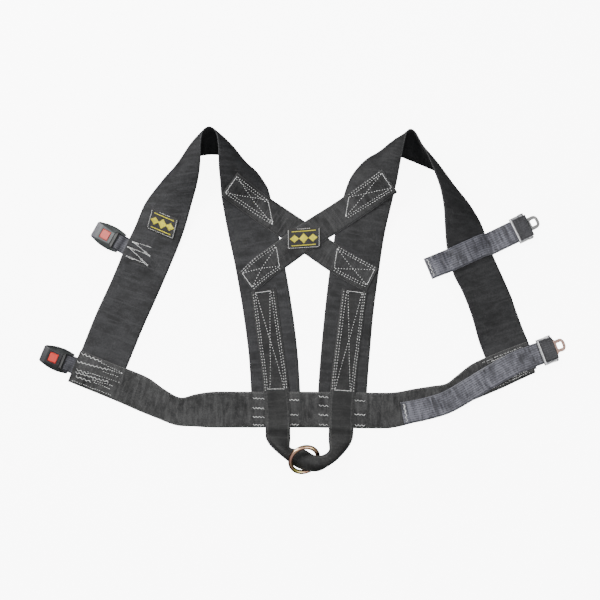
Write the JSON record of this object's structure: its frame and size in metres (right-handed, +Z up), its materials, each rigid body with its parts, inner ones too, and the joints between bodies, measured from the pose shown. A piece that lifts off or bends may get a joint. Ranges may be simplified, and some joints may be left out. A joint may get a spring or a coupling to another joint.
{
  "type": "safety harness vest",
  "caption": "Webbing pulling harness laid flat: shoulder loops, crossed back, waist belt, seat-belt style buckles and adjusters, and a tow loop with a steel ring.",
  "frame": {"origin": "middle of the laid-out vest on the surface it lies on", "axes": "+X towards the ends with the tongue plates, along the belt; +Y from the tow ring towards the shoulders; +Z up, out of the surface it lies on and out of its outer face"},
  "size_m": [1.104, 0.7181, 0.0934],
  "materials": {
    "harness_webbing": "charcoal woven nylon, matt",
    "seat_belt_webbing": "grey ribbed polyester, low sheen",
    "label": "black woven label with a plain yellow emblem",
    "buckle_plastic": "grey and black moulded plastic",
    "button_red": "red moulded plastic",
    "bright_steel": "plain bright steel",
    "chrome": "bright chrome-plated pressed steel",
    "yellow_zinc_steel": null
  },
  "bodies": {
    "harness": {"shoulder_strap_left": "harness_webbing", "shoulder_strap_right": "harness_webbing", "belt_inner_layer": "harness_webbing", "belt_outer_layer": "harness_webbing", "cross_strap_lower": "harness_webbing", "cross_strap_upper": "harness_webbing", "back_label": "label", "chest_label": "label", "tow_strap_left_leg": "harness_webbing", "tow_strap_right_leg": "harness_webbing", "chest_buckle_anchor_webbing": "seat_belt_webbing", "waist_buckle_anchor_webbing": "seat_belt_webbing", "chest_tongue_base_webbing": "seat_belt_webbing", "waist_tongue_base_webbing": "seat_belt_webbing", "chest_tongue_tail": "seat_belt_webbing", "waist_tongue_tail": "seat_belt_webbing"},
    "tow_loop": {"tow_strap_loop": "harness_webbing"},
    "tow_ring": {"tow_ring": "yellow_zinc_steel"},
    "chest_buckle": {"chest_buckle_lower_shell": "buckle_plastic", "chest_buckle_upper_shell": "buckle_plastic", "chest_buckle_frame": "bright_steel", "chest_buckle_rivet_a": "bright_steel", "chest_buckle_rivet_b": "bright_steel", "chest_buckle_webbing_loop": "seat_belt_webbing", "chest_button_spring": "bright_steel"},
    "chest_button": {"chest_release_button": "button_red"},
    "chest_pawl": {"chest_latch_pawl": "bright_steel"},
    "chest_ejector_body": {"chest_ejector": "buckle_plastic"},
    "waist_buckle": {"waist_buckle_lower_shell": "buckle_plastic", "waist_buckle_upper_shell": "buckle_plastic", "waist_buckle_frame": "bright_steel", "waist_buckle_rivet_a": "bright_steel", "waist_buckle_rivet_b": "bright_steel", "waist_buckle_webbing_loop": "seat_belt_webbing", "waist_button_spring": "bright_steel"},
    "waist_button": {"waist_release_button": "button_red"},
    "waist_pawl": {"waist_latch_pawl": "bright_steel"},
    "waist_ejector_body": {"waist_ejector": "buckle_plastic"},
    "chest_tongue": {"chest_latch_plate": "bright_steel", "chest_adjuster_frame": "chrome", "chest_tongue_webbing_loop": "seat_belt_webbing"},
    "chest_slide_bar_body": {"chest_slide_bar": "chrome"},
    "waist_tongue": {"waist_latch_plate": "yellow_zinc_steel", "waist_adjuster_frame": "chrome", "waist_tongue_webbing_loop": "seat_belt_webbing"},
    "waist_slide_bar_body": {"waist_slide_bar": "chrome"}
  },
  "joints": [
    {"name": "tow_loop_swing", "type": "hinge", "parent": "harness", "child": "tow_loop", "pos_m": [0.0131, -0.2734, 0.0094], "axis": [-1, 0, 0], "range_deg": [0, 85]},
    {"name": "tow_ring_swing", "type": "hinge", "parent": "tow_loop", "child": "tow_ring", "pos_m": [0.0021, -0.3269, 0.0204], "axis": [0, 1, 0], "range_deg": [-1, 60]},
    {"name": "chest_buckle_swing", "type": "hinge", "parent": "harness", "child": "chest_buckle", "pos_m": [-0.38004, 0.12294, 0.00335], "axis": [0.4955, 0.8686, 0], "range_deg": [0, 70]},
    {"name": "chest_button_press", "type": "slide", "parent": "chest_buckle", "child": "chest_button", "axis": [0, 0, -1], "range_m": [0, 0.0035], "stiffness_N_per_m": 600, "springref_m": -0.004, "deforming": ["chest_button_spring"]},
    {"name": "chest_latch_slide", "type": "slide", "parent": "chest_buckle", "child": "chest_pawl", "axis": [0.8686, -0.4955, 0], "range_m": [0, 0.0021]},
    {"name": "chest_ejector_slide", "type": "slide", "parent": "chest_buckle", "child": "chest_ejector_body", "axis": [0.8686, -0.4955, 0], "range_m": [0, 0.004], "stiffness_N_per_m": 60, "springref_m": -0.002},
    {"name": "waist_buckle_swing", "type": "hinge", "parent": "harness", "child": "waist_buckle", "pos_m": [-0.48504, -0.12966, 0.00535], "axis": [0.3827, 0.9239, 0], "range_deg": [0, 70]},
    {"name": "waist_button_press", "type": "slide", "parent": "waist_buckle", "child": "waist_button", "axis": [0, 0, -1], "range_m": [0, 0.0035], "stiffness_N_per_m": 600, "springref_m": -0.004, "deforming": ["waist_button_spring"]},
    {"name": "waist_latch_slide", "type": "slide", "parent": "waist_buckle", "child": "waist_pawl", "axis": [0.9239, -0.3827, 0], "range_m": [0, 0.0021]},
    {"name": "waist_ejector_slide", "type": "slide", "parent": "waist_buckle", "child": "waist_ejector_body", "axis": [0.9239, -0.3827, 0], "range_m": [0, 0.004], "stiffness_N_per_m": 60, "springref_m": -0.002},
    {"name": "chest_tongue_swing", "type": "hinge", "parent": "harness", "child": "chest_tongue", "pos_m": [0.40345, 0.12925, 0.00675], "axis": [0.4384, -0.8988, 0], "range_deg": [0, 80]},
    {"name": "chest_slide_bar_slide", "type": "slide", "parent": "chest_tongue", "child": "chest_slide_bar_body", "axis": [-0.8988, -0.4384, 0], "range_m": [0, 0.005]},
    {"name": "waist_tongue_swing", "type": "hinge", "parent": "harness", "child": "waist_tongue", "pos_m": [0.48813, -0.10877, 0.00895], "axis": [0.3584, -0.9336, 0], "range_deg": [0, 80]},
    {"name": "waist_slide_bar_slide", "type": "slide", "parent": "waist_tongue", "child": "waist_slide_bar_body", "axis": [-0.9336, -0.3584, 0], "range_m": [0, 0.005]}
  ],
  "couplings": [
    {"joint": "chest_latch_slide", "follows": "chest_button_press", "ratio": 0.5714},
    {"joint": "waist_latch_slide", "follows": "waist_button_press", "ratio": 0.5714}
  ]
}
